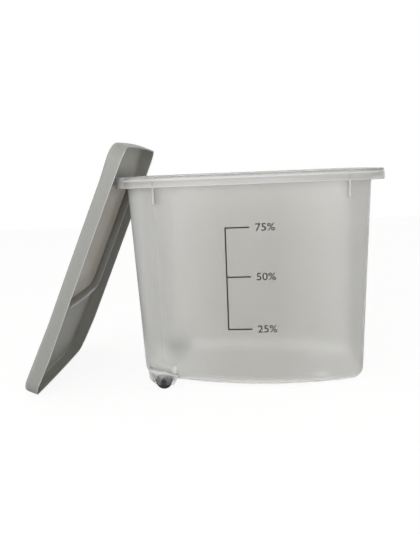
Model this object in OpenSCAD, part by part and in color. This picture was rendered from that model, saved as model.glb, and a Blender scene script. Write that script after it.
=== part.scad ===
// Pet food bin: a milky tub on two rear wheels, its grey flap lid taken off and leaning on the wheel end.
// Frame: +X to the front end, +Y away from the viewer, +Z up, floor at z = 0.
// The origin is the bottom centre of the whole box. Sizes are in millimetres.

/* [Tub] */
// outer length of the rim, front to back
rim_length = 410; // [370:1:440]
// outer width of the rim at its middle
rim_width = 280; // [255:1:310]
// height of the rim above the floor
rim_height = 338; // [315:1:350]
// depth of the turned-down rim band
rim_band = 16.5; // [14:0.5:20]
// reach of the rim out from the wall
rim_overhang = 18.5; // [15:0.5:22]
// outward bow of the long rim sides
rim_bow = 4; // [3:0.5:10]
// outward bow of the short ends
end_bow = 3; // [2:0.5:6]
// outward bow of the base's long sides, over the rim's length
base_bow = 53; // [35:1:62]
// extra half width of the base over the rim's taper, at its middle
base_belly = 7; // [0:1:10]
// corner radius of the rim in plan
rim_r = 45; // [38:1:54]
// corner radius of the walls in plan
wall_r = 28; // [26:1:40]
// tub wall thickness
wall = 2.4; // [2:0.1:3]
// draft of the walls, degrees a side
draft = 1.6; // [1:0.1:2]
// radius between wall and base
base_fillet = 20; // [14:1:22]
// base height above the floor under the rear end
base_rear = 14.5; // [10:0.5:16]
// base height above the floor under the front end
base_front = 2; // [0.5:0.5:3]
// rear gussets' distance in from the rim's rear end
gusset_rear = 65.5; // [60:0.5:85]
// front gussets' distance in from the rim's front end
gusset_front = 58.5; // [56:0.5:85]
// gusset reach below the rim band
gusset_drop = 24.5; // [12:0.5:30]
// gusset thickness
gusset_t = 2.4; // [1.8:0.1:4]
// height of the step round the rim band, below the rim
rim_step = 5.5; // [4:0.5:8]

/* [Wheels] */
// wheel diameter
wheel_d = 26; // [22:0.5:28]
// wheel width
wheel_w = 13.4; // [10:0.2:15]
// wheel centre distance in from the rim's rear end
wheel_end = 61.5; // [55:0.5:75]
// wheel centre distance in from the rim's long sides
wheel_in = 49; // [44:0.5:56]
// axle pin diameter
axle_d = 8; // [6:0.5:9]
// side gap between wheel and cheek
wheel_gap = 1.4; // [0.8:0.1:2]
// radial running clearance of wheels and flap on their pins
running = 0.05; // [0.03:0.01:0.1]
// height of the housing's lower edge above the floor
cheek_z = 8; // [7:0.5:8.5]
// width of the housing at its top
housing_w = 47; // [42:1:50]
// diameter of the two front foot pads
foot_d = 26; // [18:1:32]
// foot pad centre distance in from the rim's front end
foot_end = 93; // [83:1:115]
// foot pad centre distance in from the rim's long sides
foot_side = 85; // [78:1:100]

/* [Lid] */
// lid wall thickness
lid_wall = 2.4; // [2:0.1:3]
// corner radius of the lid in plan, tighter than the rim's
lid_r = 22; // [16:1:32]
// gap between rim and lid skirt along the sides and ends
lid_gap = 1.7; // [1:0.1:2.5]
// skirt height
skirt = 21; // [18:0.5:25]
// outer edge radius
edge_r = 6; // [4:0.5:8]
// hinge line behind the lid's middle
hinge_back = 75; // [60:1:90]
// front edge of the flap opening, ahead of the lid's middle
mouth_front = 146; // [135:1:152]
// half width of the flap opening
mouth_half = 104; // [94:1:110]
// corner radius of the flap opening
mouth_r = 24; // [18:1:34]
// drop of the lip round the flap opening, below the lid plate
lip = 10.5; // [6:0.5:12]
// thickness of the lip's rail below the flap hinge
rail = 5.6; // [4:0.2:7]
// how far below the rim's top the lid's lip leans on it
lean_seat = 7; // [4:0.5:10]
// gap left between the leaning lid and the rim
lean_gap = 0.4; // [0.3:0.1:1]

/* [Flap] */
// overlap of the flap on the frame round its opening
overlap = 9; // [7:0.5:10]
// flap thickness
flap_t = 2.2; // [1.8:0.1:2.8]
// height of the raised panel above the frame
raise = 7; // [4:0.5:9]
// run of the slope from the flange up to the raised panel
slope = 18; // [12:1:26]
// crown of the raised panel
crown = 2; // [1:0.5:4]
// hinge barrel diameter
barrel_d = 9; // [8:0.5:10]
// hinge barrel length
barrel_l = 165; // [140:1:170]
// hinge pin diameter
pin_d = 4; // [3:0.5:5]
// finger tab width
tab_w = 70; // [50:1:90]
// finger tab reach
tab_reach = 12; // [8:0.5:16]
// finger tab rise
tab_rise = 9; // [7:0.5:12]

/* [Hidden] */
$fn = 64;
n_end = 3;
n_corner = 7;
n_side = 5;
half_l = rim_length / 2;
half_w = rim_width / 2;
taper = tan(draft);
fillet = min(base_fillet, wall_r - 5);
wheel_x = half_l - wheel_end;
wheel_y = half_w - wheel_in;
foot_x = half_l - foot_end;
foot_y = half_w - foot_side;
wheel_r = wheel_d / 2;
axle_r = axle_d / 2;
wheel_slot = wheel_w / 2 + wheel_gap;
cheek = 2.2;
inner_cheek = 5.8;
seat_depth = 3.2;
arch_in = wheel_r + 1.2;
arch_out = arch_in + 1.6;
lid_out = lid_gap + lid_wall;
lid_half = half_l + lid_out;
mouth_back = hinge_back - overlap;
lip_z = skirt - lid_wall - lip;
lip_x = mouth_front + lid_wall;

// The lid leans so that its front lip meets the rim at the seat, or almost upright on a taller tub.
lean = atan2(lip_z, lid_half + lip_x)
    + acos(min(0.995, (rim_height - lean_seat) / norm([lid_half + lip_x, lip_z])));
lid_z = lid_half * cos(lean) - 0.5 * sin(lean) + 0.05;

// It stands on its rear edge and slides up to the rim until its underside touches the band.
under = [[lip_x, lip_z], [lip_x, skirt - lid_wall], [half_l + lid_gap, skirt - lid_wall],
    [half_l + lid_gap, 0], [lid_half, 0]];
function lean_x(p) = p[0] * sin(lean) - p[1] * cos(lean);
function lean_z(p) = lid_z + p[0] * cos(lean) + p[1] * sin(lean);
function touch_at(z) = [for (i = [0:len(under) - 2])
    let (a = under[i], b = under[i + 1], t = (z - lean_z(a)) / (lean_z(b) - lean_z(a)))
    if (t >= 0 && t <= 1) lean_x(a) + t * (lean_x(b) - lean_x(a))];
touch_in = [for (p = under) if (abs(rim_height - rim_band / 2 - lean_z(p)) <= rim_band / 2) lean_x(p)];
touch = max(concat(touch_in, touch_at(rim_height), touch_at(rim_height - rim_band)));
lid_x = -half_l - lean_gap - touch;
left = lid_x - (lid_half - edge_r) * sin(lean) - (skirt - edge_r) * cos(lean) - edge_r;
tub_x = -(left + half_l) / 2;
hinge_z = skirt + 1;
flap_z = skirt + 0.25;
panel_z = skirt + raise;
flap_front = mouth_front + overlap;
boss_r = barrel_d / 2 + 0.9;
boss_l = 6.4;
trough_r = barrel_d / 2 + 0.7;

// A bowed rectangle: four long arcs joined by corner arcs, as an outline of points.
function bow_radius(half, bow) = (half * half + bow * bow) / (2 * bow);
function dir(a) = [cos(a), sin(a)];
function quarter(a, b, bow_a, bow_b, r, off) =
    let (ra = bow_radius(a, bow_a), rb = bow_radius(b, bow_b),
        c1 = [0, b - ra], c2 = [a - rb, 0], d = norm(c2 - c1), e = (c2 - c1) / d,
        k = (pow(ra - r, 2) - pow(rb - r, 2) + d * d) / (2 * d),
        h = sqrt(pow(ra - r, 2) - k * k),
        q = c1 + k * e + h * [e[1], -e[0]],
        t1 = atan2(q[1] - c1[1], q[0] - c1[0]), t2 = atan2(q[1] - c2[1], q[0] - c2[0]))
    concat(
        [for (i = [0:n_end - 1]) c2 + (rb + off) * dir(t2 * i / n_end)],
        [for (i = [0:n_corner - 1]) q + (r + off) * dir(t2 + (t1 - t2) * i / n_corner)],
        [for (i = [0:n_side - 1]) c1 + (ra + off) * dir(t1 + (90 - t1) * i / n_side)]);
function outline(a, b, bow_a, bow_b, r, off) =
    let (q = quarter(a, b, bow_a, bow_b, r, off), m = len(q))
    concat(q, [[0, b + off]],
        [for (i = [m - 1:-1:1]) [-q[i][0], q[i][1]]],
        [for (i = [0:m - 1]) -q[i]], [[0, -b - off]],
        [for (i = [m - 1:-1:1]) [q[i][0], -q[i][1]]]);
function mix(p, q, t) = [for (i = [0:len(p) - 1]) p[i] + (q[i] - p[i]) * t];

// Skins rings of equal length into one solid, with a cap at each end or joined end to end.
module skin(rings, loop = false) {
    n = len(rings[0]);
    k = len(rings);
    last = loop ? k - 1 : k - 2;
    sides = [for (i = [0:last]) for (j = [0:n - 1])
        let (a = i * n, b = ((i + 1) % k) * n, j1 = (j + 1) % n)
        each [[a + j, b + j, b + j1], [a + j, b + j1, a + j1]]];
    caps = loop ? [] : [[for (j = [0:n - 1]) j], [for (j = [n - 1:-1:0]) (k - 1) * n + j]];
    polyhedron(points = [for (r = rings) each r], faces = concat(sides, caps), convexity = 8);
}

// One ring of the tub: the outline bows more towards the base, and the base slopes up to the rear.
// The corner radius r is that of the outline before it is set in by off.
function base_lift(x) = base_rear + (base_front - base_rear) * (x / rim_length + 0.5);
function tub_ring(off, z, r) =
    let (t = z / rim_height,
        p = mix(outline(half_l, half_w + base_belly, base_bow, end_bow, r, off),
            outline(half_l, half_w, rim_bow, end_bow, r, off), t))
    [for (v = p) [v[0], v[1], z + base_lift(v[0]) * max(0, 1 - z / (rim_height - 60))]];
function wall_in(z) = rim_overhang + (rim_height - z) * taper;
function side_y(x, z) =
    half_w + base_belly * (1 - z / rim_height)
        - (base_bow + (rim_bow - base_bow) * z / rim_height) * pow(x / half_l, 2) - wall_in(z);

module tub_shell() {
    inner = fillet - wall;
    h = rim_height;
    low = wall_in(fillet);
    top = rim_overhang;
    foot = wall_r + low;
    head = wall_r + top;
    rows = concat(
        [for (a = [0:15:90]) [-(low + fillet * (1 - sin(a))), fillet * (1 - cos(a)), foot]],
        [[-wall_in(h - wall - 3), h - wall - 3, head], [-top + 0.9, h - wall - 0.9, head],
            [-top + 3, h - wall, head]],
        [[-wall - 1.5, h - wall, rim_r], [-wall, h - wall - 1.5, rim_r]],
        [[-wall, h - rim_band, rim_r], [-0.6, h - rim_band, rim_r], [0, h - rim_band + 0.6, rim_r]],
        [[0, h - rim_step - 0.8, rim_r], [-0.8, h - rim_step, rim_r]],
        [[-0.8, h - 2.2, rim_r], [-1.5, h - 0.7, rim_r], [-3, h, rim_r]],
        [[-top - wall + 2, h, head], [-top - wall + 0.6, h - 0.6, head],
            [-wall_in(h - 2) - wall, h - 2, head]],
        [for (a = [90:-15:0]) [-(low + wall + inner * (1 - sin(a))), wall + inner * (1 - cos(a)), foot]]);
    skin([for (r = rows) tub_ring(r[0], r[1], r[2])]);
}

// A web of even depth that stands out from the wall, up into the rim band.
module gusset(sx, sy) {
    x = half_l - (sx < 0 ? gusset_rear : gusset_front);
    h = rim_height;
    band = half_w - rim_bow * pow(x / half_l, 2) - wall / 2;
    low = h - rim_band - gusset_drop;
    translate([sx * x - gusset_t / 2, 0, 0]) mirror([0, sy < 0 ? 1 : 0, 0])
        rotate([90, 0, 90]) linear_extrude(gusset_t)
            polygon([[side_y(x, h - 1) - 1.2, h - 1], [side_y(x, low) - 1.2, low], [band - 1.5, low],
                [band - 0.5, low + 1], [band, h - 1]]);
}

// Wheel housing seen from the side, grown by g, with the heights of its top at the rear and the front.
module housing_face(g, rear, front) {
    w = housing_w / 2;
    polygon([[-w - g, rear + g], [w + g, front + g], [w * 0.92 + g, cheek_z + 9], [w * 0.68 + g, cheek_z],
        [-w * 0.4 - g, cheek_z], [-w * 0.77 - g, cheek_z + 6.3], [-w * 0.92 - g, cheek_z + 10]]);
}
module along_y(y0, y1) {
    translate([0, y1, 0]) rotate([90, 0, 0]) linear_extrude(y1 - y0) children();
}
module pin_y(r, y0, y1) {
    translate([0, y0, 0]) rotate([-90, 0, 0]) cylinder(r = r, h = y1 - y0);
}

// Wheel housings are drawn for the near side, at the wheel, and mirrored to the far side.
module at_wheel(far) {
    mirror([0, far ? 1 : 0, 0]) translate([-wheel_x, -wheel_y, 0]) children();
}
module housing() {
    along_y(-wheel_slot - cheek, wheel_slot + inner_cheek) {
        housing_face(0, wheel_r + 21, wheel_r + 9.5);
        translate([0, wheel_r]) intersection() {
            circle(arch_out);
            translate([-arch_out, 0]) square([2 * arch_out, arch_out]);
        }
    }
}
module housing_space() {
    along_y(-wheel_slot, wheel_slot) {
        housing_face(-2.2, wheel_r + 9, wheel_r + 9);
        translate([-arch_in, -20]) square([2 * arch_in, wheel_r + 20]);
    }
    translate([0, 0, wheel_r]) pin_y(arch_in, -wheel_slot, wheel_slot);
    translate([0, 0, wheel_r]) pin_y(axle_r + 0.03, -wheel_slot - cheek - 1, wheel_slot + seat_depth);
    along_y(-wheel_slot - cheek - 1, wheel_slot + seat_depth)
        translate([-axle_r * 0.82, -20]) square([axle_r * 1.64, wheel_r + 20]);
}

module tub() {
    color([0.86, 0.87, 0.87, 0.75]) translate([tub_x, 0, 0]) difference() {
        union() {
            tub_shell();
            for (sx = [-1, 1], sy = [-1, 1]) gusset(sx, sy);
            for (far = [false, true]) at_wheel(far) housing();
            for (sy = [-1, 1])
                translate([foot_x, sy * foot_y, 0]) cylinder(d = foot_d, h = base_lift(foot_x) + wall / 2);
        }
        for (far = [false, true]) at_wheel(far) housing_space();
    }
}

module axle(far) {
    color([0.12, 0.12, 0.13]) translate([tub_x, 0, 0]) at_wheel(far) translate([0, 0, wheel_r])
        translate([0, -wheel_slot - cheek - 0.4, 0]) rotate([-90, 0, 0]) rotate_extrude()
            polygon([[0, 0], [axle_r - 0.5, 0], [axle_r, 0.5],
                [axle_r, 2 * wheel_slot + cheek + seat_depth - 0.3],
                [axle_r - 0.6, 2 * wheel_slot + cheek + seat_depth + 0.2],
                [0, 2 * wheel_slot + cheek + seat_depth + 0.2]]);
}

module wheel(far) {
    w = wheel_w / 2;
    bore = axle_r + running;
    color([0.1, 0.1, 0.11]) translate([tub_x, 0, 0]) at_wheel(far) translate([0, 0, wheel_r])
        rotate([-90, 0, 0]) rotate_extrude()
            polygon([[bore, -w], [axle_r + 2.2, -w], [axle_r + 2.6, -w + 1.6], [wheel_r - 2.6, -w + 1.6],
                [wheel_r - 2.2, -w + 0.6], [wheel_r - 1, -w + 0.6], [wheel_r, -w + 1.8], [wheel_r, w - 1.8],
                [wheel_r - 1, w - 0.6], [wheel_r - 2.2, w - 0.6], [wheel_r - 2.6, w - 1.6],
                [axle_r + 2.6, w - 1.6], [axle_r + 2.2, w], [bore, w]]);
}

// The lid is drawn flat, skirt edge at z = 0 and front at +X, and then set up against the rim.
module at_lean() {
    translate([tub_x + lid_x, 0, lid_z]) rotate([0, lean - 90, 0]) children();
}
mouth_x = (mouth_front - mouth_back) / 2;
mouth_l = (mouth_front + mouth_back) / 2;
function lid_ring(w, off, z) =
    let (p = w == 0 ? outline(half_l, half_w, rim_bow, end_bow, lid_r, off)
        : outline(mouth_l, mouth_half, 2, 2, mouth_r, off))
    [for (v = p) [v[0] + (w == 0 ? 0 : mouth_x), v[1], z]];

module frame_shell() {
    turn = edge_r - lid_wall;
    rows = concat(
        [[0, lid_out - 0.5, 0], [0, lid_out, 0.5]],
        [for (a = [0:22.5:90]) [0, lid_out - edge_r * (1 - cos(a)), skirt - edge_r * (1 - sin(a))]],
        [[1, 0.6, skirt], [1, 0, skirt - 0.6], [1, 0, lip_z], [1, lid_wall, lip_z],
            [1, lid_wall, skirt - lid_wall]],
        [for (a = [90:-22.5:0]) [0, lid_gap - turn * (1 - cos(a)), skirt - lid_wall - turn * (1 - sin(a))]],
        [[0, lid_gap, 0.4], [0, lid_gap + 0.4, 0]]);
    skin([for (r = rows) lid_ring(r[0], r[1], r[2])], loop = true);
}

module lid_frame() {
    half = barrel_l / 2 + 0.6;
    run = mouth_half - mouth_r;
    color([0.62, 0.63, 0.6]) at_lean() difference() {
        union() {
            frame_shell();
            intersection() {
                translate([-hinge_back, 0, hinge_z]) pin_y(trough_r + 2, -half - 2.2, half + 2.2);
                translate([-hinge_back - 20, -half - 10, 0]) cube([40, 2 * half + 20, skirt - 0.1]);
            }
            for (s = [-1, 1]) translate([-hinge_back, s * (half + boss_l / 2), hinge_z])
                pin_y(boss_r, -boss_l / 2, boss_l / 2);
            translate([-mouth_back, 0, lip_z]) linear_extrude(lip / 2)
                polygon([[-0.2, -run], [-lid_wall, -run], [-rail, -run / 2],
                    [-rail, run / 2], [-lid_wall, run], [-0.2, run]]);
        }
        translate([-hinge_back, 0, hinge_z]) pin_y(trough_r, -half, half);
        translate([-hinge_back, 0, hinge_z]) pin_y(pin_d / 2 + 0.02, -half - boss_l - 1, half + boss_l + 1);
    }
}

module hinge_pin() {
    l = barrel_l / 2 + 0.6 + boss_l - 0.2;
    color([0.45, 0.46, 0.45]) at_lean() translate([-hinge_back, -l, hinge_z]) rotate([-90, 0, 0])
        rotate_extrude() polygon([[0, 0], [pin_d / 2 - 0.4, 0], [pin_d / 2, 0.4], [pin_d / 2, 2 * l - 0.4],
            [pin_d / 2 - 0.4, 2 * l], [0, 2 * l]]);
}

// One ring of the flap: its own outline, set in by off and then shrunk about the middle.
function flap_ring(off, z, s) =
    let (l = mouth_l + overlap, w = mouth_half + overlap,
        p = outline(l, w, 2, 2, mouth_r + overlap, off))
    [for (v = p) [v[0] * s + mouth_x, v[1] * s, z]];

module flap_shell() {
    t = flap_t;
    f0 = flap_z;
    f1 = flap_z + t;
    step = overlap - 1;
    rise = [[0.55, 1], [0.78, 0.68], [0.92, 0.28]];
    ease = [for (c = [0, 0.15, 0.35, 0.65, 0.85, 1])
        [-step - slope * c, f1 + (panel_z - f1) * c * c * (3 - 2 * c)]];
    rows = concat(
        [for (c = rise) [-step - slope, panel_z - t + crown * c[1], c[0]]],
        [for (i = [len(ease) - 1:-1:0]) [ease[i][0], ease[i][1] - t, 1]],
        [[-0.5, f0, 1], [0, f0 + 0.5, 1], [0, f1 - 0.6, 1], [-0.6, f1, 1]],
        [for (e = ease) [e[0], e[1], 1]],
        [for (i = [2:-1:0]) [-step - slope, panel_z + crown * rise[i][1], rise[i][0]]]);
    skin([for (r = rows) flap_ring(r[0], r[1], r[2])]);
}

// The finger tab curls up from the flap's front edge, with rounded corners.
module finger_tab() {
    r = tab_reach * 0.6;
    x1 = flap_front + tab_reach;
    intersection() {
        translate([0, tab_w / 2, 0]) rotate([90, 0, 0]) linear_extrude(tab_w)
            polygon([[flap_front - 6, flap_z + 0.3], [flap_front + 0.8, flap_z],
                [x1 + 0.8, flap_z + tab_rise - 1.8], [x1, flap_z + tab_rise],
                [flap_front - 1, flap_z + flap_t + 0.6], [flap_front - 6, flap_z + flap_t]]);
        linear_extrude(panel_z + tab_rise) union() {
            translate([flap_front - 7, -tab_w / 2]) square([tab_reach + 8 - r, tab_w]);
            translate([flap_front - 7, -tab_w / 2 + r]) square([tab_reach + 8, tab_w - 2 * r]);
            for (s = [-1, 1]) translate([x1 + 1 - r, s * (tab_w / 2 - r)]) circle(r = r);
        }
    }
}

module lid_flap() {
    half = barrel_l / 2;
    color([0.6, 0.61, 0.58]) at_lean() difference() {
        union() {
            flap_shell();
            translate([-hinge_back, 0, hinge_z]) pin_y(barrel_d / 2, -half, half);
            finger_tab();
        }
        for (s = [-1, 1])
            translate([-hinge_back - 1, s * (half + 0.6 + boss_l / 2) - boss_l / 2 - 0.6, flap_z - 5])
                cube([boss_r + 2, boss_l + 1.4, 20]);
        translate([-hinge_back, 0, hinge_z]) pin_y(pin_d / 2 + running, -half - 1, half + 1);
    }
}

tub();
axle(false);  // axle_near
axle(true);  // axle_far
wheel(false);  // wheel_near
wheel(true);  // wheel_far
lid_frame();
hinge_pin();
lid_flap();
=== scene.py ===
import math
import bmesh
import bpy
from mathutils import Matrix, Vector


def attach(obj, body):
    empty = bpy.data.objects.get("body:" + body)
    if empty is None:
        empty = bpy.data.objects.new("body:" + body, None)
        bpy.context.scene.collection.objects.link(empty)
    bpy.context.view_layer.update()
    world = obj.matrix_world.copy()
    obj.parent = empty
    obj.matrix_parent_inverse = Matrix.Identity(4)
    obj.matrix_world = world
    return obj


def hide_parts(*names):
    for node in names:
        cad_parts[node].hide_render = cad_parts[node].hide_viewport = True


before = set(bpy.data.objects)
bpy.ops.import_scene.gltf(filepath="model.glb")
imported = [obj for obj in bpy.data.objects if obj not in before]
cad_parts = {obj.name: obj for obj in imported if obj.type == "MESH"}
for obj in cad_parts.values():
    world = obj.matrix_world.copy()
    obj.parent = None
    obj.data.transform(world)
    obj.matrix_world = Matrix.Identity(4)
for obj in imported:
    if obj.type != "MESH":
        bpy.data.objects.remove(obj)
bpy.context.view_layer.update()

# Tub: a deep shell with drafted walls that swell towards the base, a turned-down rim and rim gussets.
# Natural polypropylene, injection moulded in one shot, so walls, housings and foot pads are one piece.
# Sizes in millimetres, measured from the middle of the rim and from the floor.
RIM_LENGTH, RIM_WIDTH, RIM_HEIGHT = 410.0, 280.0, 338.0
RIM_BAND, RIM_STEP, RIM_OVERHANG = 16.5, 5.5, 18.5
RIM_BOW, END_BOW, BASE_BOW, BASE_BELLY = 4.0, 3.0, 53.0, 7.0
RIM_R, WALL_R, WALL, DRAFT = 45.0, 28.0, 2.4, math.tan(math.radians(1.6))
BASE_FILLET, BASE_REAR, BASE_FRONT = 20.0, 14.5, 2.0
GUSSET_REAR, GUSSET_FRONT, GUSSET_DROP, GUSSET_T = 65.5, 58.5, 24.5, 2.4
FOOT_X, FOOT_Y, FOOT_D = 112.0, 55.0, 26.0
HALF_L, HALF_W = RIM_LENGTH / 2, RIM_WIDTH / 2
LIFT_END = RIM_HEIGHT - 60  # above this height the slope of the base no longer lifts the walls

# Lid sizes that set where the lid leans, and with it the middle of the whole part: u runs along the lid,
# and n from the open side of its skirt outwards. Its lip leans on the rim and its rear is on the floor.
SKIRT, LID_WALL, LID_GAP, EDGE_R, LIP, MOUTH_FRONT, LEAN_SEAT = 21.0, 2.4, 1.7, 6.0, 10.5, 146.0, 7.0
RIM_GAP, FLOOR_GAP, EDGE_SOFT = 0.4, 0.05, 0.5
LID_HALF = HALF_L + LID_GAP + LID_WALL
LIP_N = SKIRT - LID_WALL - LIP
LIP_U = MOUTH_FRONT + LID_WALL
LEAN_REACH = math.hypot(LID_HALF + LIP_U, LIP_N)
LEAN = math.atan2(LIP_N, LID_HALF + LIP_U) + math.acos((RIM_HEIGHT - LEAN_SEAT) / LEAN_REACH)
LID_X = -HALF_L - RIM_GAP - LIP_U * math.sin(LEAN) + LIP_N * math.cos(LEAN)
LID_Z = LID_HALF * math.cos(LEAN) - EDGE_SOFT * math.sin(LEAN) + FLOOR_GAP
LID_LEFT = LID_X - (LID_HALF - EDGE_R) * math.sin(LEAN) - (SKIRT - EDGE_R) * math.cos(LEAN) - EDGE_R
TUB_X = -(LID_LEFT + HALF_L) / 2


def bow_radius(half, bow):
    # Radius of an arc that rises by bow over twice half.
    return (half * half + bow * bow) / (2 * bow)


def outline(a, b, bow_a, bow_b, r, off, counts):
    # A bowed rectangle: four long arcs joined by corner arcs, set out by off, as a ring of points.
    n_end, n_corner, n_side = counts
    ra, rb = bow_radius(a, bow_a), bow_radius(b, bow_b)
    c1, c2 = Vector((0, b - ra)), Vector((a - rb, 0))
    d = (c2 - c1).length
    e = (c2 - c1) / d
    k = ((ra - r) ** 2 - (rb - r) ** 2 + d * d) / (2 * d)
    h = math.sqrt((ra - r) ** 2 - k * k)
    q = c1 + e * k + Vector((e.y, -e.x)) * h
    t1 = math.atan2(q.y - c1.y, q.x - c1.x)
    t2 = math.atan2(q.y - c2.y, q.x - c2.x)
    arcs = [(c2, rb, 0, t2, n_end), (q, r, t2, t1, n_corner), (c1, ra, t1, math.pi / 2, n_side)]
    quarter = []
    for centre, radius, start, stop, count in arcs:
        for i in range(count):
            t = start + (stop - start) * i / count
            x, y = centre.x + (radius + off) * math.cos(t), centre.y + (radius + off) * math.sin(t)
            quarter.append((x, y))
    upper = quarter + [(0.0, b + off)] + [(-x, y) for x, y in quarter[:0:-1]]
    return upper + [(-x, -y) for x, y in upper]


def skin(rings, loop=False, caps=4):
    # Joins rings of equal length into a closed shell; open ends are closed by rings that shrink to a point.
    n = len(rings[0])
    verts = [p for ring in rings for p in ring]
    faces = []
    pairs = [(i, i + 1) for i in range(len(rings) - 1)] + ([(len(rings) - 1, 0)] if loop else [])
    for a, b in pairs:
        faces += [(a * n + j, a * n + (j + 1) % n, b * n + (j + 1) % n, b * n + j) for j in range(n)]
    if not loop:
        for first, turned in ((0, True), ((len(rings) - 1) * n, False)):
            edge = verts[first:first + n]
            mid = [sum(p[i] for p in edge) / n for i in range(3)]
            prev = first
            for step in range(1, caps):
                t = 1 - step / caps
                start = len(verts)
                verts += [tuple(mid[i] + (p[i] - mid[i]) * t for i in range(3)) for p in edge]
                for j in range(n):
                    k = (j + 1) % n
                    quad = (prev + j, prev + k, start + k, start + j)
                    faces.append(quad[::-1] if turned else quad)
                prev = start
            tip = len(verts)
            verts.append(tuple(mid))
            for j in range(n):
                tri = (prev + j, prev + (j + 1) % n, tip)
                faces.append(tri[::-1] if turned else tri)
    return verts, faces


def prism(profile, low, high, place):
    # Extrudes a flat profile between two heights; place turns (along profile, across, height) into x, y, z.
    n = len(profile)
    verts = [place(p[0], p[1], h) for h in (low, high) for p in profile]
    faces = [(j, (j + 1) % n, n + (j + 1) % n, n + j) for j in range(n)]
    return verts, faces + [tuple(range(n))[::-1], tuple(range(n, 2 * n))]


def disc(radius, count=64):
    # A circle as a flat profile.
    turns = [2 * math.pi * i / count for i in range(count)]
    return [(radius * math.cos(t), radius * math.sin(t)) for t in turns]


def new_piece(name, verts, faces):
    # Makes a mesh object from millimetres, with its faces turned outwards.
    me = bpy.data.meshes.new(name)
    me.from_pydata([(x / 1000, y / 1000, z / 1000) for x, y, z in verts], [], faces)
    bm = bmesh.new()
    bm.from_mesh(me)
    bmesh.ops.recalc_face_normals(bm, faces=bm.faces)
    bm.to_mesh(me)
    bm.free()
    obj = bpy.data.objects.new(name, me)
    bpy.context.scene.collection.objects.link(obj)
    return obj


def carve(obj, other, how):
    # Joins another solid to a piece or cuts it out, and removes that solid.
    mod = obj.modifiers.new(how, "BOOLEAN")
    mod.operation, mod.object, mod.solver = how, other, "MANIFOLD"
    apply_modifiers(obj)
    bpy.data.objects.remove(other)


def apply_modifiers(obj):
    # Keeps what a piece's modifiers make of it as its own mesh.
    dg = bpy.context.evaluated_depsgraph_get()
    me = bpy.data.meshes.new_from_object(obj.evaluated_get(dg))
    obj.modifiers.clear()
    obj.data = me


def soften(obj, angle=32):
    # Smooth shading, apart from edges sharper than an angle in degrees.
    obj.data.shade_smooth()
    obj.data.set_sharp_from_angle(angle=math.radians(angle))


def base_lift(x):
    # Height of the base over the floor, which falls from the wheels to the feet.
    return BASE_REAR + (BASE_FRONT - BASE_REAR) * (x / RIM_LENGTH + 0.5)


def wall_in(z):
    # How far the drafted wall stands inside the rim.
    return RIM_OVERHANG + (RIM_HEIGHT - z) * DRAFT


def side_y(x, z):
    # Half the width over the long walls, near enough to tell what stands out from them.
    t = z / RIM_HEIGHT
    bow = BASE_BOW + (RIM_BOW - BASE_BOW) * t
    return HALF_W + BASE_BELLY * (1 - t) - bow * (x / HALF_L) ** 2 - wall_in(z)


TUB_COUNTS = (10, 12, 22)


def tub_ring(off, z, r):
    # One level line of the tub, between the bulging outline of the base and the straighter one of the rim.
    t = z / RIM_HEIGHT
    low = outline(HALF_L, HALF_W + BASE_BELLY, BASE_BOW, END_BOW, r, off, TUB_COUNTS)
    high = outline(HALF_L, HALF_W, RIM_BOW, END_BOW, r, off, TUB_COUNTS)
    ring = []
    for p, q in zip(low, high):
        x, y = p[0] + (q[0] - p[0]) * t, p[1] + (q[1] - p[1]) * t
        ring.append((TUB_X + x, y, z + base_lift(x) * max(0, 1 - z / LIFT_END)))
    return ring


def tub_rows():
    # The section of the tub as rows of offset from the rim, height and corner radius: up the outside,
    # round the rim and down the inside.
    h, top, low = RIM_HEIGHT, RIM_OVERHANG, wall_in(BASE_FILLET)
    foot, head, inner = WALL_R + low, WALL_R + top, BASE_FILLET - WALL
    turn = [math.radians(a) for a in range(0, 91, 9)]
    heights = [BASE_FILLET + (h - WALL - 3 - BASE_FILLET) * i / 24 for i in range(1, 25)]
    rows = [(-(low + BASE_FILLET * (1 - math.sin(a))), BASE_FILLET * (1 - math.cos(a)), foot) for a in turn]
    rows += [(-wall_in(z), z, WALL_R + wall_in(z)) for z in heights]
    under, band, step = h - WALL, h - RIM_BAND, h - RIM_STEP
    rows += [(-top + 0.3, under - 1.6, head), (-top + 1.0, under - 0.6, head), (-top + 3, under, head)]
    rim = [(-WALL - 2, under), (-WALL - 0.6, under - 0.5), (-WALL, under - 2)]
    rim += [(-WALL, band + 0.5), (-WALL + 0.5, band), (-0.6, band)]
    rim += [(-0.15, band + 0.2), (0, band + 0.7), (0, band + 1.7), (-0.2, band + 2.3)]
    rim += [(-0.2, step - 1.8), (0, step - 1.0), (-0.15, step - 0.4), (-0.75, step), (-0.8, step + 0.4)]
    rim += [(-0.8, h - 2.4), (-1.1, h - 1.2), (-1.8, h - 0.4), (-3, h)]
    rows += [(off, z, RIM_R) for off, z in rim]
    rows += [(-top - WALL + 2, h, head), (-top - WALL + 1, h - 0.25, head), (-top - WALL + 0.3, h - 1, head)]
    rows += [(-wall_in(z) - WALL, z, WALL_R + wall_in(z)) for z in heights[::-1]]
    hollow = [(low + WALL + inner * (1 - math.sin(a)), WALL + inner * (1 - math.cos(a))) for a in turn[::-1]]
    rows += [(-off, z, foot) for off, z in hollow]
    return rows


tub = new_piece("tub_shell", *skin([tub_ring(*row) for row in tub_rows()], caps=10))
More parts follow.
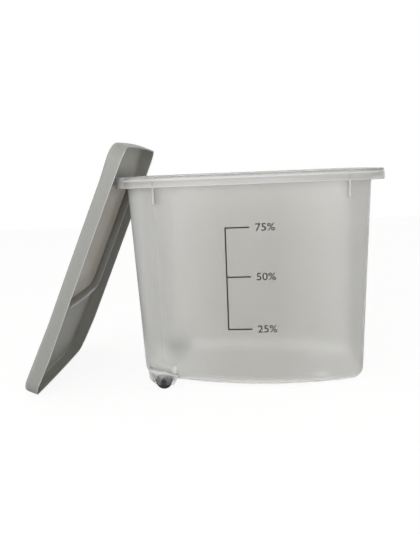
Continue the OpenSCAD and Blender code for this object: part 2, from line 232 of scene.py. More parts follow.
# Two gussets under the rim on each long side, and two foot pads under the front end.
for x_end, sx in ((GUSSET_REAR, -1), (GUSSET_FRONT, 1)):
    x = HALF_L - x_end
    low_z = RIM_HEIGHT - RIM_BAND - GUSSET_DROP
    band = HALF_W - RIM_BOW * (x / HALF_L) ** 2 - WALL / 2
    web = [(side_y(x, RIM_HEIGHT - 1) - 1.2, RIM_HEIGHT - 1), (side_y(x, low_z) - 1.2, low_z)]
    web += [(band - 2.0, low_z), (band - 1.0, low_z + 0.4), (band - 0.5, low_z + 1.4)]
    web += [(band, RIM_HEIGHT - 1)]
    for sy in (-1, 1):
        def at_gusset(y, z, t):
            return (TUB_X + sx * x + t, sy * y, z)

        gusset = new_piece("gusset", *prism(web, -GUSSET_T / 2, GUSSET_T / 2, at_gusset))
        carve(tub, gusset, "UNION")
for sy in (-1, 1):
    pad_r, pad_top = FOOT_D / 2, base_lift(FOOT_X) + WALL / 2
    steps = [(pad_r - 1.2, 0), (pad_r - 0.35, 0.35), (pad_r, 1.2), (pad_r, pad_top)]
    pad = [[(TUB_X + FOOT_X + x, sy * FOOT_Y + y, z) for x, y in disc(r, 72)] for r, z in steps]
    carve(tub, new_piece("pad", *skin(pad)), "UNION")

# Wheel housings: a box with two cheeks moulded on at each rear corner, with an arch over the wheel.
# A keyhole in each outer cheek takes the axle pin from below; the inner cheek has a blind seat.
# One moulding with the tub, so each is joined to its shell before its hollows are cut.
WHEEL_D, WHEEL_W, WHEEL_X, WHEEL_Y = 26.0, 13.4, 143.5, 91.0
AXLE_D, WHEEL_GAP, CHEEK, INNER_CHEEK, SEAT_DEPTH, SEAT_ROOM, ROUND_T = 8.0, 1.4, 2.2, 5.8, 3.2, 0.03, 0.1
CHEEK_Z, HOUSING_W, TOP_REAR, TOP_FRONT, HOLLOW_TOP, BELOW = 8.0, 47.0, 21.0, 9.5, 9.0, -20.0
WHEEL_R, AXLE_R = WHEEL_D / 2, AXLE_D / 2
WHEEL_SLOT = WHEEL_W / 2 + WHEEL_GAP
ARCH_IN = WHEEL_R + 1.2
ARCH_OUT = ARCH_IN + 1.6


def housing_face(grow, rear, front, low=CHEEK_Z):
    # A housing seen from the side: its top falls from rear to front, and its lower corners are cut off.
    w = HOUSING_W / 2
    face = [(-w - grow, rear + grow), (w + grow, front + grow)]
    face += [(w * 0.92 + grow, CHEEK_Z + 9), (w * 0.68 + grow, low)]
    face += [(-w * 0.4 - grow, low), (-w * 0.77 - grow, CHEEK_Z + 6.3), (-w * 0.92 - grow, CHEEK_Z + 10)]
    return face


def wheel_disc(radius, count):
    # A circle about the axle.
    return [(x, z + WHEEL_R) for x, z in disc(radius, count)]


for sy in (-1, 1):
    def at_wheel(x, z, y):
        return (TUB_X - WHEEL_X + x, sy * (WHEEL_Y - y), z)

    # The solid of the housing and its arch, with softened edges.
    y_out, y_in = -WHEEL_SLOT - CHEEK, WHEEL_SLOT + INNER_CHEEK
    shape = housing_face(0, WHEEL_R + TOP_REAR, WHEEL_R + TOP_FRONT)
    housing = new_piece("housing", *prism(shape, y_out, y_in, at_wheel))
    arch = [(x, max(z, 0) + WHEEL_R) for x, z in disc(ARCH_OUT, 96)]
    carve(housing, new_piece("arch", *prism(arch, y_out, y_in, at_wheel)), "UNION")
    edge = housing.modifiers.new("edge", "BEVEL")
    edge.width, edge.segments = 0.0007, 2
    edge.limit_method, edge.angle_limit = "ANGLE", math.radians(40)
    apply_modifiers(housing)
    carve(tub, housing, "UNION")
    # The hollows: inside of the housing, wheel well, and the seat of the pin with its narrower neck.
    well = [(-ARCH_IN, BELOW), (ARCH_IN, BELOW), (ARCH_IN, WHEEL_R), (-ARCH_IN, WHEEL_R)]
    neck = AXLE_R * 0.82
    seat = [(-neck, BELOW), (neck, BELOW), (neck, WHEEL_R), (-neck, WHEEL_R)]
    inside = housing_face(-CHEEK, WHEEL_R + HOLLOW_TOP, WHEEL_R + HOLLOW_TOP, CHEEK_Z - 4)
    through, blind = WHEEL_SLOT + CHEEK + 2, WHEEL_SLOT + SEAT_DEPTH
    # A shallow round in both faces of the outer cheek bounds its clear part, over the wheel.
    spaces = [(inside, WHEEL_SLOT, WHEEL_SLOT), (well, WHEEL_SLOT, WHEEL_SLOT)]
    spaces += [(wheel_disc(ARCH_IN, 96), WHEEL_SLOT + ROUND_T, WHEEL_SLOT)]
    spaces += [(wheel_disc(AXLE_R + SEAT_ROOM, 64), through, blind), (seat, through, blind)]
    spaces += [(wheel_disc(ARCH_IN - 0.4, 96), WHEEL_SLOT + CHEEK + 1, ROUND_T - WHEEL_SLOT - CHEEK)]
    for shape, out, into in spaces:
        carve(tub, new_piece("space", *prism(shape, -out, into, at_wheel)), "DIFFERENCE")
soften(tub)


def linear(code):
    # An sRGB hex colour as linear light.
    parts = [int(code[i:i + 2], 16) / 255 for i in (1, 3, 5)]
    return tuple(c / 12.92 if c <= 0.04045 else ((c + 0.055) / 1.055) ** 2.4 for c in parts) + (1.0,)


def add(tree, kind, settings=None, values=None, links=None):
    # Adds one node, with its settings, its socket values and its incoming links.
    node = tree.nodes.new(kind)
    for key, value in (settings or {}).items():
        setattr(node, key, value)
    for key, value in (values or {}).items():
        node.inputs[key].default_value = value
    for key, source in (links or {}).items():
        tree.links.new(source, node.inputs[key])
    return node


def dress(obj, mat):
    # Gives a piece one material all over.
    obj.data.materials.clear()
    obj.data.materials.append(mat)
    obj.data.polygons.foreach_set("material_index", [0] * len(obj.data.polygons))


def new_material(name):
    # A material with an empty node tree.
    mat = bpy.data.materials.new(name)
    mat.use_nodes = True
    tree = mat.node_tree
    tree.nodes.clear()
    return mat, tree


def noise(tree, size, detail):
    # Soft mottling about size metres across, fixed to the piece.
    place = add(tree, "ShaderNodeTexCoord").outputs["Object"]
    values = {"Scale": 1 / size, "Detail": detail}
    return add(tree, "ShaderNodeTexNoise", None, values, {"Vector": place}).outputs["Fac"]


def blend(tree, first, second, factor):
    # A colour between two; the first is a hex code or comes from another node.
    values, links = {"B": linear(second)}, {"Factor": factor}
    if isinstance(first, str):
        values["A"] = linear(first)
    else:
        links["A"] = first
    return add(tree, "ShaderNodeMix", {"data_type": "RGBA"}, values, links).outputs["Result"]


def relief(tree, strength, depth, height):
    # A pattern as bumps of a depth in metres.
    values = {"Strength": strength, "Distance": depth}
    return add(tree, "ShaderNodeBump", None, values, {"Height": height}).outputs["Normal"]


def surface(tree, values, links):
    # The one shader of a material, joined to its output.
    shader = add(tree, "ShaderNodeBsdfPrincipled", None, values, links)
    add(tree, "ShaderNodeOutputMaterial", links={"Surface": shader.outputs["BSDF"]})


# How white and how clear the plastic of each zone looks, from 0 to 1, partly for thick plastic and partly as
# painted light. A loss is taken off the clearness.
WALL_CLEAR, REAR_LOSS, PAINTED_END_WHITE = 0.78, 0.4, 0.5
BAND_WHITE, TIP_LOSS, PAINTED_LINE_WHITE, LINE_CLEAR = 0.1, 0.65, 0.8, 0.6
GUSSET_LOOK, WELL_LOOK = (1.0, 0.43), (0.5, 0.65)
CHEEK_WHITE, CHEEK_CLEAR, CHEEK_LOSS, EDGE_CLEAR = 0.6, 0.98, 0.6, 0.94
# Where they change, in millimetres: to the sides and the rear, at the rim's rear tip, and down to the base.
SIDE_FADE, REAR_FADE, TIP_FADE, EDGE_FADE = (40, 140), (135, 185), (HALF_L - 24, HALF_L - 12), (-16, -8)
RIM_ZONE_Z, RIM_ZONE_OUT, LINE_HALF, HOUSING_ZONE_Y = 250, 1.2, 1.3, 76


def ramp(value, low, high):
    # 0 up to low, 1 from high on, and straight in between.
    return min(1, max(0, (value - low) / (high - low)))


def mark(obj, name, values):
    # A number for every point of a mesh, for its material to read.
    layer = obj.data.attributes.new(name, "FLOAT", "POINT")
    layer.data.foreach_set("value", values)


def whiten_and_paint_light(obj):
    # Thick sections of milky plastic, the gussets and the housings, are whiter and less clear. The rest is
    # painted light: the shell is painted whiter towards its ends and most at the rear, the rear tip of the
    # rim and the low base edge are painted white, and painted highlight lines run along the rim's lower
    # edge, its step and its top.
    points = []
    for v in obj.data.vertices:
        x, y, z = v.co.x * 1000 - TUB_X, abs(v.co.y) * 1000, v.co.z * 1000
        out = max(y - side_y(x, z), abs(x) - HALF_L + wall_in(z))
        rise = z - base_lift(x)
        # Painted light: towards its ends, and most at the rear, the shell is painted whiter and less clear
        # for the light it catches there.
        rear = ramp(-x, *REAR_FADE)
        white, clear = max(PAINTED_END_WHITE * ramp(abs(x), *SIDE_FADE), rear), WALL_CLEAR - REAR_LOSS * rear
        by_wheel = abs(x + WHEEL_X) < HOUSING_W / 2 + 1 and z < WHEEL_R + TOP_REAR + 1
        if z > RIM_ZONE_Z and out > RIM_ZONE_OUT:
            # Painted light: the rear tip of the rim is painted white for the light that the band carries to
            # it.
            tip = ramp(-x, *TIP_FADE)
            white, clear = BAND_WHITE + (1 - BAND_WHITE) * tip, WALL_CLEAR - TIP_LOSS * tip
            # Painted highlights: thin whiter lines along the band's lower edge, at its step and along the
            # top.
            lines = min(abs(z - RIM_HEIGHT + RIM_BAND - 0.6), abs(z - RIM_HEIGHT + RIM_STEP))
            if z < RIM_HEIGHT - RIM_BAND - 1:
                white, clear = GUSSET_LOOK
            elif lines < LINE_HALF or z > RIM_HEIGHT - 1:
                white, clear = PAINTED_LINE_WHITE, min(clear, LINE_CLEAR)
        elif by_wheel and y > HOUSING_ZONE_Y:
            reach = math.hypot(x + WHEEL_X, z - WHEEL_R)
            far = max(ramp(reach, ARCH_IN, ARCH_IN + 1), ramp(z, WHEEL_R + 9, WHEEL_R + 13))
            white, clear = WELL_LOOK
            if y > WHEEL_Y + WHEEL_SLOT - 0.5:
                white, clear = CHEEK_WHITE + (1 - CHEEK_WHITE) * far, CHEEK_CLEAR - CHEEK_LOSS * far
        elif rise < BASE_FILLET:
            # Painted light: low on the base edge the shell is painted white where the edge catches light,
            # and it is clearer there.
            edge = ramp(-rise, *EDGE_FADE)
            white, clear = max(white, edge), clear + (EDGE_CLEAR - clear) * edge
        points.append((white, clear))
    mark(obj, "white", [p[0] for p in points])
    mark(obj, "clear", [p[1] for p in points])


def natural_polypropylene():
    # Unpigmented polypropylene from a polished mould: milky, light passes but shapes behind it blur. Thick
    # sections turn whiter and less clear than the walls, the white mark also carries painted light on the
    # ends, the rim and the base edge, and the thin cheek over each wheel is glossier.
    mat, tree = new_material("natural_polypropylene_moulded")
    whiteness = add(tree, "ShaderNodeAttribute", {"attribute_name": "white"}).outputs["Fac"]
    clearness = add(tree, "ShaderNodeAttribute", {"attribute_name": "clear"}).outputs["Fac"]
    milk = blend(tree, "#DFDEDB", "#E3E2DD", noise(tree, 0.09, 2.0))
    waves = noise(tree, 0.004, 2.0)
    polish = {"From Min": EDGE_CLEAR, "From Max": CHEEK_CLEAR, "To Min": 0.24, "To Max": 0.07}
    rough = add(tree, "ShaderNodeMapRange", None, polish, {"Value": clearness}).outputs["Result"]
    surface(tree, {"IOR": 1.49}, {
        "Base Color": blend(tree, milk, "#FDFDFB", whiteness), "Normal": relief(tree, 0.04, 0.0002, waves),
        "Transmission Weight": clearness, "Roughness": rough})
    return mat


whiten_and_paint_light(tub)
dress(tub, natural_polypropylene())
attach(tub, "tub")
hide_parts("tub")

# Level scale: a line with three ticks and their percentages, pad printed on the near wall in dark grey ink.
# Each mark is a film of ink 0.15 mm thick that follows the curve of the wall.
INK_T, INK_FOOT, LINE_W = 0.15, 0.03, 2.1
FIGURE_H, FIGURE_WIDE, FIGURE_BOLD, CAP_SHARE = 11.7, 1.13, 0.06, 0.729
SCALE_X, TICK_X, FIGURE_X, FIGURE_UP = -35.8, 0.4, 8.2, 0.3
LEVELS = [("75%", 257.6), ("50%", 182.6), ("25%", 101.2)]


def side_y_arc(x, z):
    # Half the width over the long walls, from the same arcs as the shell.
    t = z / RIM_HEIGHT
    ys = []
    for bow, belly in ((BASE_BOW, BASE_BELLY), (RIM_BOW, 0)):
        r = bow_radius(HALF_L, bow)
        ys.append(HALF_W + belly - r + math.sqrt((r - wall_in(z)) ** 2 - x * x))
    return ys[0] + (ys[1] - ys[0]) * t


def wall_y(x, z):
    # Near face of the wall at a height above the floor, with the base lift taken out by a few steps.
    s = z
    for _ in range(6):
        s = z - base_lift(x) * max(0, 1 - s / LIFT_END)
    return -side_y_arc(x, s)


def strip(x0, z0, x1, z1, width, steps):
    # A flat bar between two points of the wall, as rows of four corners.
    along = Vector((x1 - x0, z1 - z0)).normalized()
    side = Vector((-along.y, along.x)) * width / 2
    rings = []
    for i in range(steps + 1):
        p = Vector((x0, z0)).lerp(Vector((x1, z1)), i / steps)
        ring = []
        for s, out in ((1, INK_FOOT), (-1, INK_FOOT), (-1, INK_T), (1, INK_T)):
            x, z = p.x + side.x * s, p.y + side.y * s
            ring.append((TUB_X + x, wall_y(x, z) - out, z))
        rings.append(ring)
    return skin(rings, caps=1)


line_top, line_low = LEVELS[0][1] + LINE_W / 2, LEVELS[2][1] - LINE_W / 2
marks = new_piece("level_marks", *strip(SCALE_X, line_top, SCALE_X, line_low, LINE_W, 40))
for _, z in LEVELS:
    carve(marks, new_piece("tick", *strip(SCALE_X, z, TICK_X, z, LINE_W, 12)), "UNION")


def figure_piece(text, z):
    # Percentage figures from a plain sans face, laid on the wall. Front and back of the letters become
    # the top and the foot of the film of ink.
    curve = bpy.data.curves.new("figure", "FONT")
    curve.body = text
    curve.size = FIGURE_H / CAP_SHARE
    curve.extrude = 0.5
    curve.offset = FIGURE_BOLD
    curve.resolution_u = 6
    shape = bpy.data.objects.new("figure", curve)
    bpy.context.scene.collection.objects.link(shape)
    dg = bpy.context.evaluated_depsgraph_get()
    me = bpy.data.meshes.new_from_object(shape.evaluated_get(dg))
    bpy.data.objects.remove(shape)
    for v in me.vertices:
        x, zz = FIGURE_X + v.co.x * FIGURE_WIDE, z - FIGURE_H / 2 + FIGURE_UP + v.co.y
        out = INK_T if v.co.z > 0 else INK_FOOT
        v.co = Vector((TUB_X + x, wall_y(x, zz) - out, zz)) / 1000
    obj = bpy.data.objects.new("level_figures_" + text[:2], me)
    bpy.context.scene.collection.objects.link(obj)
    return obj


def printed_ink():
    # Pad-printing ink: matt and dense, a little uneven where the pad lifted.
    mat, tree = new_material("pad_printed_ink")
    tone = blend(tree, "#0E0F11", "#1C1D20", noise(tree, 0.003, 3.0))
    surface(tree, {"Roughness": 0.7, "IOR": 1.45}, {"Base Color": tone})
    return mat


ink = printed_ink()
for obj in [marks] + [figure_piece(text, z) for text, z in LEVELS]:
    dress(obj, ink)
    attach(obj, "tub")

# Wheels: solid black moulded wheels, each free on its own axle pin between the cheeks of its housing.
# Acetal from a spark-eroded mould: dull, with a parting line round the tread.
RUNNING = 0.05  # radial room of anything that turns on a pin


def revolve(profile, count, place):
    # Turns a closed profile of (radius, along) into a solid ring about the axle.
    rings = []
    for i in range(count):
        t = 2 * math.pi * i / count
        rings.append([place(r * math.cos(t), r * math.sin(t), y) for r, y in profile])
    return skin(rings, loop=True)


def dull_black(name, dark, pale):
    # Black acetal: a soft, slightly waxy sheen over mould grain, drawn coarser than the real 0.1 mm.
    mat, tree = new_material(name)
    grain = noise(tree, 0.0012, 3.0)
    surface(tree, {"Roughness": 0.48, "IOR": 1.48}, {
        "Base Color": blend(tree, dark, pale, grain), "Normal": relief(tree, 0.2, 0.0001, grain)})
    return mat


wheel_black = dull_black("black_acetal_moulded", "#121419", "#1D2026")
# Half of the section: bore, hub, sunk web, rounded tread and the small groove of the parting line.
half = WHEEL_W / 2
face = [(AXLE_R + RUNNING, half), (AXLE_R + 2.0, half)]
face += [(AXLE_R + 2.3, half - 0.3), (AXLE_R + 2.5, half - 1.6)]
face += [(WHEEL_R - 2.8, half - 1.7), (WHEEL_R - 2.4, half - 0.9), (WHEEL_R - 2.0, half - 0.6)]
face += [(WHEEL_R - 0.5, half - 0.6), (WHEEL_R - 0.15, half - 0.75), (WHEEL_R, half - 1.1)]
face += [(WHEEL_R, 0.35), (WHEEL_R - 0.12, 0.1)]
profile = face + [(r, -y) for r, y in face[::-1]]
for name, sy in (("near", -1), ("far", 1)):
    def at_axle(a, b, y):
        return (TUB_X - WHEEL_X + a, sy * WHEEL_Y + y, WHEEL_R + b)

    wheel = new_piece("wheel_" + name + "_moulding", *revolve(profile, 96, at_axle))
    soften(wheel)
    dress(wheel, wheel_black)
    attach(wheel, "wheel_" + name)
    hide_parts("wheel_" + name)
pin_black = dull_black("black_acetal_pin", "#141517", "#222325")
for name in ("axle_near", "axle_far"):
    dress(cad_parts[name], pin_black)

# Lid frame: a shallow tray with a skirt that goes over the rim, and an opening with a lip for the flap.
# Grey polypropylene, moulded in one shot with the hinge trough and its two bosses.
LID_R, MOUTH_HALF, MOUTH_R, HINGE_BACK, OVERLAP, RAIL = 22.0, 104.0, 24.0, 75.0, 9.0, 5.6
BARREL_D, BARREL_L, PIN_D, BOSS_L = 9.0, 165.0, 4.0, 6.4
HINGE_PLAY, PIN_ROOM, TROUGH_WALL, TROUGH_END, TROUGH_TOP, MOUTH_BOW = 0.6, 0.02, 2.0, 2.2, -1.1, 2.0
MOUTH_BACK = HINGE_BACK - OVERLAP
MOUTH_MID, MOUTH_LEN = (MOUTH_FRONT - MOUTH_BACK) / 2, (MOUTH_FRONT + MOUTH_BACK) / 2
HINGE_N = SKIRT + 1
BOSS_R, TROUGH_R = BARREL_D / 2 + 0.9, BARREL_D / 2 + 0.7
LID_OUT = LID_GAP + LID_WALL
LID_COUNTS = (8, 12, 16)
# How much deeper and longer the tray gets towards its ends, and over which stretch of u.
REAR_DEEP, FRONT_DEEP, REAR_SWEEP, FRONT_SWEEP = 3.8, 1.9, 2.8, 1.7
REAR_DEEP_U, FRONT_DEEP_U, REAR_SWEEP_U, FRONT_SWEEP_U = (85, 190), (150, 185), (140, 195), (150, 200)


def lean_place(u, v, n):
    # From the lid lying flat, front at +u, to where it leans on the rim.
    x = TUB_X + LID_X + u * math.sin(LEAN) - n * math.cos(LEAN)
    return (x, v, LID_Z + u * math.cos(LEAN) + n * math.sin(LEAN))


def sweep(u):
    # How far the skirt's free edge bends out near the rear end.
    return REAR_SWEEP * ramp(-u, *REAR_SWEEP_U)


def lid_ring(off, n):
    # A level line of the tray. Its rear end stays on the floor where it is drawn longer.
    placed = []
    for u, v in outline(HALF_L, HALF_W, RIM_BOW, END_BOW, LID_R, off, LID_COUNTS):
        deep = REAR_DEEP * ramp(-u, *REAR_DEEP_U) + FRONT_DEEP * ramp(u, *FRONT_DEEP_U)
        high = n + sweep(u) + (deep - sweep(u)) * n / SKIRT
        along = u - sweep(u) * math.tan(LEAN) + FRONT_SWEEP * ramp(u, *FRONT_SWEEP_U)
        placed.append(lean_place(along, v, high))
    return placed


def mouth_ring(off, n):
    # A level line round the opening for the flap.
    ring = outline(MOUTH_LEN, MOUTH_HALF, MOUTH_BOW, MOUTH_BOW, MOUTH_R, off, LID_COUNTS)
    return [lean_place(u + MOUTH_MID, v, n) for u, v in ring]


# The section as rings: free edge of the skirt, rounded shoulder, plate, lip, and back along the inside.
turn = [math.radians(a) for a in range(0, 91, 15)]
ceiling, inside_r = SKIRT - LID_WALL, EDGE_R - LID_WALL
edge_out = [(0.6, 0), (0.15, 0.15), (0, 0.6), (0, 1.2)]
plate = [(OVERLAP + 2, 0), (0.8, 0), (0.2, 0.2), (0, 0.8)]
lip_out = [(0, 1.3), (0, 0.5), (0.15, 0.15), (0.5, 0)]
lip_in = [(0.5, 0), (0.15, 0.15), (0, 0.5), (0, 1.3)]
root = [(0, 1.2), (0.4, 0.35), (1.2, 0)]
hollow = [(inside_r * (1 - math.cos(a)), inside_r * (1 - math.sin(a))) for a in turn[::-1]]
edge_in = [(0, 1.3), (0, 0.5), (0.15, 0.15), (0.5, 0)]
rings = [lid_ring(LID_OUT - off, n) for off, n in edge_out]
rings += [lid_ring(LID_OUT - EDGE_R * (1 - math.cos(a)), SKIRT - EDGE_R * (1 - math.sin(a))) for a in turn]
rings += [mouth_ring(off, SKIRT - n) for off, n in plate]
rings += [mouth_ring(off, LIP_N + n) for off, n in lip_out]
rings += [mouth_ring(LID_WALL - off, LIP_N + n) for off, n in lip_in]
rings += [mouth_ring(LID_WALL + off, ceiling - n) for off, n in root]
rings += [lid_ring(LID_GAP - off, ceiling - n) for off, n in hollow]
rings += [lid_ring(LID_GAP + off, n) for off, n in edge_in]
lid = new_piece("lid_tray", *skin(rings, loop=True))


def at_hinge(a, b, v):
    # From places about the hinge line and along it to where the lid leans.
    return lean_place(-HINGE_BACK + a, v, HINGE_N + b)


def hinge_round(radius, low, high, count=72):
    # A cylinder along the hinge line.
    return prism(disc(radius, count), low, high, at_hinge)


def on_lip(u, v, n):
    # From the rear edge of the opening to where the lid leans.
    return lean_place(u - MOUTH_BACK, v, n)


# Hinge trough and bosses, a rail that stiffens the rear of the lip, and the bores for barrel and pin.
hinge_half = BARREL_L / 2 + HINGE_PLAY
under = [(a, min(b, TROUGH_TOP)) for a, b in disc(TROUGH_R + TROUGH_WALL, 96)]
trough_half = hinge_half + TROUGH_END
carve(lid, new_piece("trough", *prism(under, -trough_half, trough_half, at_hinge)), "UNION")
for s in (-1, 1):
    ends = sorted((s * (hinge_half - 0.01), s * (hinge_half + BOSS_L)))
    carve(lid, new_piece("boss", *hinge_round(BOSS_R, *ends)), "UNION")
run = MOUTH_HALF - MOUTH_R
rail = [(-0.2, -run), (-0.2, run), (-LID_WALL, run), (-RAIL, run / 2), (-RAIL, -run / 2), (-LID_WALL, -run)]
carve(lid, new_piece("rail", *prism(rail, LIP_N, LIP_N + LIP / 2, on_lip)), "UNION")
carve(lid, new_piece("bore", *hinge_round(TROUGH_R, -hinge_half, hinge_half)), "DIFFERENCE")
bore_half = hinge_half + BOSS_L + 1
carve(lid, new_piece("bore", *hinge_round(PIN_D / 2 + PIN_ROOM, -bore_half, bore_half, 48)), "DIFFERENCE")
soften(lid)


def lid_local(obj):
    # Each point of a lid piece as it is with the lid lying flat.
    places = []
    for v in obj.data.vertices:
        x, z = v.co.x * 1000 - TUB_X - LID_X, v.co.z * 1000 - LID_Z
        u, n = x * math.sin(LEAN) + z * math.cos(LEAN), z * math.sin(LEAN) - x * math.cos(LEAN)
        places.append((u, v.co.y * 1000, n))
    return places


def grey_polypropylene(name, dark, pale, other, glow):
    # Pigmented polypropylene from an etched mould: satin, with a leathery grain, drawn coarser than the real
    # 0.5 mm, and thin walls that pass a little light.
    mat, tree = new_material(name)
    edge = add(tree, "ShaderNodeAttribute", {"attribute_name": "edge"}).outputs["Fac"]
    tone = blend(tree, dark, pale, noise(tree, 0.003, 4.0))
    place = add(tree, "ShaderNodeTexCoord").outputs["Object"]
    cells = add(tree, "ShaderNodeTexVoronoi", None, {"Scale": 1 / 0.0016}, {"Vector": place})
    leather = relief(tree, 0.25, 0.00012, cells.outputs["Distance"])
    values = {
        "Roughness": 0.5, "IOR": 1.49,
        "Subsurface Weight": glow, "Subsurface Scale": 0.014, "Subsurface Radius": (1.0, 0.96, 0.9)}
    # The edge mark blends in the other colour: painted highlights and painted light on the frame, painted
    # shade on the flap.
    surface(tree, values, {"Base Color": blend(tree, tone, other, edge), "Normal": leather})
    return mat


# The lip and the long free edges of the skirt get painted highlights, and the thin wall of the lip is
# painted paler for the light it passes.
LIP_PAINTED_LIGHT = 0.4
painted_light = []
for u, v, n in lid_local(lid):
    around = abs(v) < MOUTH_HALF + 8 and abs(u - MOUTH_MID) < MOUTH_LEN + 8
    wall = around and LIP_N < n < SKIRT - LID_WALL - 0.5
    lip = around and abs(n - LIP_N) < 0.6
    skirt = n - sweep(u) < 0.7 and abs(v) > HALF_W - RIM_BOW - 3
    painted_light.append(1.0 if lip or skirt else LIP_PAINTED_LIGHT * wall)
mark(lid, "edge", painted_light)
# The pale colour is painted highlight on the edges and painted light on the lip wall.
dress(lid, grey_polypropylene("grey_polypropylene_moulded", "#9F9F99", "#B2B2AB", "#F0F0EC", 0.3))
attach(lid, "lid")
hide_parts("lid_frame")

# Hinge pin: drawn steel wire, pushed through one boss, the flap's barrel and the other boss.
# The solid is right as it is, so it only gets its material.
LINES_PER_M = (2500.0, 40.0, 2500.0)


def drawn_steel():
    # Bright wire with lines along its length from the drawing die, drawn coarser than the real ones.
    mat, tree = new_material("drawn_steel_wire")
    place = add(tree, "ShaderNodeTexCoord").outputs["Object"]
    stretch = add(tree, "ShaderNodeMapping", None, {"Scale": LINES_PER_M}, {"Vector": place})
    along = {"Vector": stretch.outputs["Vector"]}
    lines = add(tree, "ShaderNodeTexNoise", None, {"Scale": 1.0, "Detail": 2.0}, along).outputs["Fac"]
    rough = add(tree, "ShaderNodeMapRange", None, {"To Min": 0.22, "To Max": 0.38}, {"Value": lines})
    surface(tree, {"Base Color": linear("#B9BABB"), "Metallic": 1.0}, {"Roughness": rough.outputs["Result"]})
    return mat


dress(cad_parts["hinge_pin"], drawn_steel())

# Flap: a raised panel that eases up from a flange, with a hinge barrel behind and a finger tab in front.
# The same grey polypropylene as the frame, moulded by itself and hung on the pin. Its colours are painted
# lighter than the frame's for the light that falls on its panel.
FLAP_T, RAISE, SLOPE, CROWN, TAB_W, TAB_REACH, TAB_RISE = 2.2, 7.0, 18.0, 2.0, 70.0, 12.0, 9.0
FLAP_GAP, EASE_STEPS, CORNER_STEPS = 0.25, 12, 12
FLAP_N, PANEL_N = SKIRT + FLAP_GAP, SKIRT + RAISE
FLAP_FRONT = MOUTH_FRONT + OVERLAP


def flap_ring(off, n, s=1.0):
    # A level line of the flap, shrunk by s for the rings of its crowned panel.
    half_u, half_v = MOUTH_LEN + OVERLAP, MOUTH_HALF + OVERLAP
    ring = outline(half_u, half_v, MOUTH_BOW, MOUTH_BOW, MOUTH_R + OVERLAP, off, LID_COUNTS)
    return [lean_place(u * s + MOUTH_MID, v * s, n) for u, v in ring]


# The section as rings: underside from the middle out, edge of the flange, and back over the top side.
flange = FLAP_N + FLAP_T
step = OVERLAP - 1
shares = [i / EASE_STEPS for i in range(EASE_STEPS + 1)]
ease = [(-step - SLOPE * c, flange + (PANEL_N - flange) * c * c * (3 - 2 * c)) for c in shares]
dome = [(s / 20, CROWN * (1 - ((s / 20 - 0.5) / 0.5) ** 2)) for s in range(19, 9, -1)]
rings = [flap_ring(-step - SLOPE, PANEL_N - FLAP_T + lift, s) for s, lift in dome[::-1]]
rings += [flap_ring(off, n - FLAP_T) for off, n in ease[::-1]]
rings += [flap_ring(-0.6, FLAP_N), flap_ring(-0.15, FLAP_N + 0.15), flap_ring(0, FLAP_N + 0.6)]
rings += [flap_ring(0, flange - 0.6), flap_ring(-0.15, flange - 0.15), flap_ring(-0.6, flange)]
rings += [flap_ring(off, n) for off, n in ease]
rings += [flap_ring(-step - SLOPE, PANEL_N + lift, s) for s, lift in dome]
flap = new_piece("flap_panel", *skin(rings, caps=4))
barrel_half = BARREL_L / 2
carve(flap, new_piece("barrel", *hinge_round(BARREL_D / 2, -barrel_half, barrel_half)), "UNION")
# The finger tab: a curled strip with rounded corners.
tip = FLAP_FRONT + TAB_REACH
curl = [(FLAP_FRONT - 6, FLAP_N + 0.3), (FLAP_FRONT + 0.8, FLAP_N), (tip + 0.8, FLAP_N + TAB_RISE - 1.8)]
curl += [(tip, FLAP_N + TAB_RISE), (FLAP_FRONT - 1, FLAP_N + FLAP_T + 0.6)]
curl += [(FLAP_FRONT - 6, FLAP_N + FLAP_T)]
tab = new_piece("tab", *prism(curl, -TAB_W / 2, TAB_W / 2, lambda u, n, v: lean_place(u, v, n)))
tab_r = TAB_REACH * 0.6
plan = [(FLAP_FRONT - 7, -TAB_W / 2), (FLAP_FRONT - 7, TAB_W / 2)]
for s, first in ((1, 90), (-1, 0)):
    for i in range(CORNER_STEPS + 1):
        t = math.radians(first - 90 * i / CORNER_STEPS)
        plan.append((tip + 1 - tab_r + tab_r * math.cos(t), s * (TAB_W / 2 - tab_r) + tab_r * math.sin(t)))
carve(tab, new_piece("plan", *prism(plan, 0, PANEL_N + TAB_RISE, lean_place)), "INTERSECT")
carve(flap, tab, "UNION")
# Notches clear the bosses, and a bore takes the pin.
for s in (-1, 1):
    mid = s * (barrel_half + HINGE_PLAY + BOSS_L / 2)
    low, high = mid - BOSS_L / 2 - 0.6, mid + BOSS_L / 2 + 0.8
    rear, front = -HINGE_BACK - 1, -HINGE_BACK + BOSS_R + 1
    notch = [(rear, low), (front, low), (front, high), (rear, high)]
    carve(flap, new_piece("notch", *prism(notch, FLAP_N - 5, FLAP_N + 15, lean_place)), "DIFFERENCE")
bore_half = barrel_half + 1
carve(flap, new_piece("bore", *hinge_round(PIN_D / 2 + RUNNING, -bore_half, bore_half, 48)), "DIFFERENCE")
soften(flap)
# Painted shade: towards the flange the frame takes away the light from behind, so the panel is painted
# darker there.
DARK_FADE = (12, 36)
reach = [min(MOUTH_HALF - abs(v), MOUTH_LEN - abs(u - MOUTH_MID)) for u, v, n in lid_local(flap)]
mark(flap, "edge", [1 - ramp(r, *DARK_FADE) for r in reach])
# Painted light and shade: colours lighter than the frame's for the light on the panel, and the darker one as
# painted shade towards the flange.
dress(flap, grey_polypropylene("grey_polypropylene_flap", "#C9C4BC", "#D4CFC7", "#B3AEA6", 1.0))
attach(flap, "flap")
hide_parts("lid_flap")

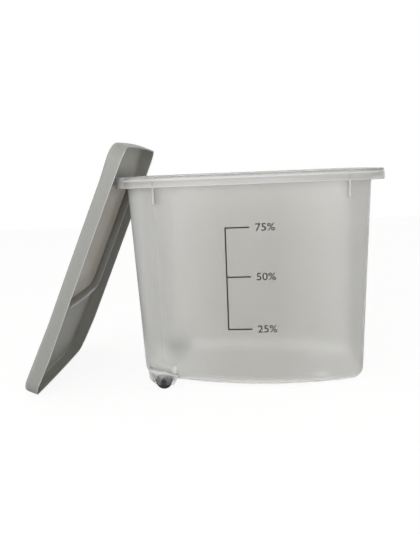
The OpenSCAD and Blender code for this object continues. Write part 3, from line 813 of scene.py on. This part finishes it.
# Studio: a flat pale floor that meets the white background, with one large soft lamp and an even white
# surround.
# The surround gives the plastic only half of what the lens sees, so that shapes keep their shading.
FLOOR_HALF, PAPER_LIFT, SURROUND_LIGHT, SURROUND_SEEN = 3000.0, 0.9, 0.5, 1.0
LAMP_W, LAMP_H, LAMP_WATTS = 2.3, 1.2, 29.5
LAMP_AT, LAMP_AIM = Vector((-0.55, -2.1, 0.85)), Vector((0.0, 0.0, 0.15))
corners = [(-FLOOR_HALF, -FLOOR_HALF, 0), (FLOOR_HALF, -FLOOR_HALF, 0)]
corners += [(FLOOR_HALF, FLOOR_HALF, 0), (-FLOOR_HALF, FLOOR_HALF, 0)]
floor = new_piece("floor", corners, [(0, 1, 2, 3)])


def seen_paths(tree):
    # 1 for what the lens sees, also in mirrors and through clear plastic, and 0 for paths that only light.
    path = add(tree, "ShaderNodeLightPath")
    seen = path.outputs["Is Camera Ray"]
    for kind in ("Is Glossy Ray", "Is Transmission Ray"):
        both = add(tree, "ShaderNodeMath", {"operation": "MAXIMUM"}, links={0: seen, 1: path.outputs[kind]})
        seen = both.outputs[0]
    return seen


def studio_paper():
    # Seamless paper: lifted to white where it is seen, with soft shadows kept.
    mat, tree = new_material("seamless_paper")
    lift = add(tree, "ShaderNodeMath", {"operation": "MULTIPLY"}, {1: PAPER_LIFT}, {0: seen_paths(tree)})
    paper = add(tree, "ShaderNodeBsdfDiffuse", values={"Color": linear("#6C6C6A")})
    glow = add(tree, "ShaderNodeEmission", None, {"Color": linear("#FFFFFF")}, {"Strength": lift.outputs[0]})
    both = add(tree, "ShaderNodeAddShader", links={0: paper.outputs["BSDF"], 1: glow.outputs["Emission"]})
    add(tree, "ShaderNodeOutputMaterial", links={"Surface": both.outputs["Shader"]})
    return mat


dress(floor, studio_paper())
world = bpy.data.worlds.new("white_surround")
bpy.context.scene.world = world
world.use_nodes = True
tree = world.node_tree
tree.nodes.clear()
levels = {"To Min": SURROUND_LIGHT, "To Max": SURROUND_SEEN}
level = add(tree, "ShaderNodeMapRange", None, levels, {"Value": seen_paths(tree)}).outputs["Result"]
sky = add(tree, "ShaderNodeBackground", None, {"Color": linear("#FFFFFF")}, {"Strength": level})
add(tree, "ShaderNodeOutputWorld", links={"Surface": sky.outputs["Background"]})
light = bpy.data.lights.new("window_lamp", "AREA")
light.shape, light.size, light.size_y, light.energy = "RECTANGLE", LAMP_W, LAMP_H, LAMP_WATTS
light.color = linear("#FBFBFF")[:3]
lamp = bpy.data.objects.new("window_lamp", light)
bpy.context.scene.collection.objects.link(lamp)
lamp.location = LAMP_AT
lamp.rotation_euler = (LAMP_AIM - LAMP_AT).to_track_quat("-Z", "Y").to_euler()
bpy.context.scene.view_settings.view_transform = "Standard"

# Camera: a phone held a little above the rim, turned slightly to the left and not quite level.
CAM_X, CAM_Y, CAM_Z = 6.2, -1051.5, 345.0
YAW, PITCH, ROLL, FOCAL_PX, IMAGE_H, SENSOR = -0.0717, 0.1547, 0.0403, 625.17, 534, 36.0
right = Vector((math.cos(YAW), -math.sin(YAW), 0))
ahead = Vector((math.sin(YAW), math.cos(YAW), 0))
forward = ahead * math.cos(PITCH) - Vector((0, 0, math.sin(PITCH)))
up = ahead * math.sin(PITCH) + Vector((0, 0, math.cos(PITCH)))
side = right * math.cos(ROLL) - up * math.sin(ROLL)
top = up * math.cos(ROLL) + right * math.sin(ROLL)
lens = bpy.data.cameras.new("camera")
lens.sensor_width = SENSOR
lens.lens = FOCAL_PX * SENSOR / IMAGE_H
camera = bpy.data.objects.new("camera", lens)
bpy.context.scene.collection.objects.link(camera)
pose = Matrix((side, top, -forward)).transposed().to_4x4()
pose.translation = Vector((TUB_X + CAM_X, CAM_Y, CAM_Z)) / 1000
camera.matrix_world = pose
bpy.context.scene.camera = camera
